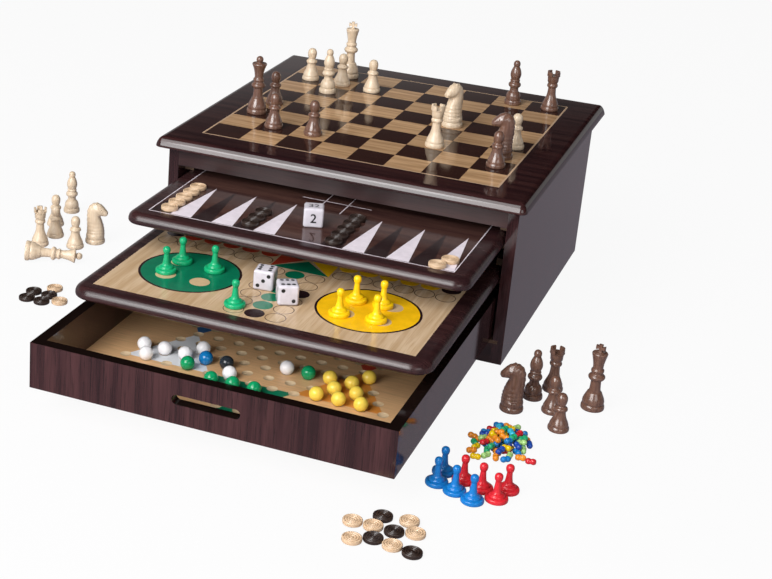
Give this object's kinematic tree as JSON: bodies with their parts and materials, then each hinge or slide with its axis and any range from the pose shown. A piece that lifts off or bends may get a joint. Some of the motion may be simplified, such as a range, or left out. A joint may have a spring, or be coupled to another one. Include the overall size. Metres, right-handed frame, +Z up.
{
  "type": "games compendium box",
  "caption": "Wooden games compendium: cabinet with a chessboard top, two pull-out game boards, a drawer with a star board, and loose playing pieces.",
  "frame": {"origin": "middle of the front rail's underside, at the foot of the cabinet's front", "axes": "+Z up, +Y from the front to the back, +X to the right seen from the front"},
  "size_m": [0.5492, 0.6236, 0.1995],
  "materials": {
    "dark_board": "satin laminate",
    "chess_veneer": "gloss laminate",
    "dark_veneer": "gloss laminate",
    "maple_veneer": "gloss laminate",
    "star_print": "satin print",
    "bare_strip": "plain",
    "pale_turned": "satin lacquer",
    "brown_turned": "gloss lacquer",
    "dark_turned": "gloss lacquer",
    "white_dice": "polished"
  },
  "bodies": {
    "cabinet": {"top_panel": "dark_board", "chess_sheet": "chess_veneer", "left_side_panel": "dark_board", "right_side_panel": "dark_board", "back_panel": "dark_board", "header_rail": "dark_board", "base_front_rail": "dark_board", "base_panel": "bare_strip", "backgammon_runners": "bare_strip", "ludo_runners": "bare_strip", "pale_chessmen": "pale_turned", "brown_chessmen": "brown_turned", "floor_pale_draughts": "pale_turned", "floor_dark_draughts": "dark_turned"},
    "backgammon": {"backgammon_board": "dark_board", "backgammon_sheet": "dark_veneer", "board_pale_draughts": "pale_turned", "board_dark_draughts": "dark_turned"},
    "ludo": {"ludo_board": "dark_board", "ludo_sheet": "maple_veneer", "dice": "white_dice"},
    "drawer": {"drawer_front": "dark_board", "drawer_back": "dark_board", "drawer_left_side": "dark_board", "drawer_right_side": "dark_board", "star_board": "star_print"}
  },
  "joints": [
    {"name": "backgammon_slide", "type": "slide", "parent": "cabinet", "child": "backgammon", "axis": [0, -1, 0], "range_m": [-0.101, 0.14]},
    {"name": "ludo_slide", "type": "slide", "parent": "cabinet", "child": "ludo", "axis": [0, -1, 0], "range_m": [-0.192, 0.045]},
    {"name": "drawer_slide", "type": "slide", "parent": "cabinet", "child": "drawer", "axis": [0, -1, 0], "range_m": [-0.257, 0]}
  ]
}
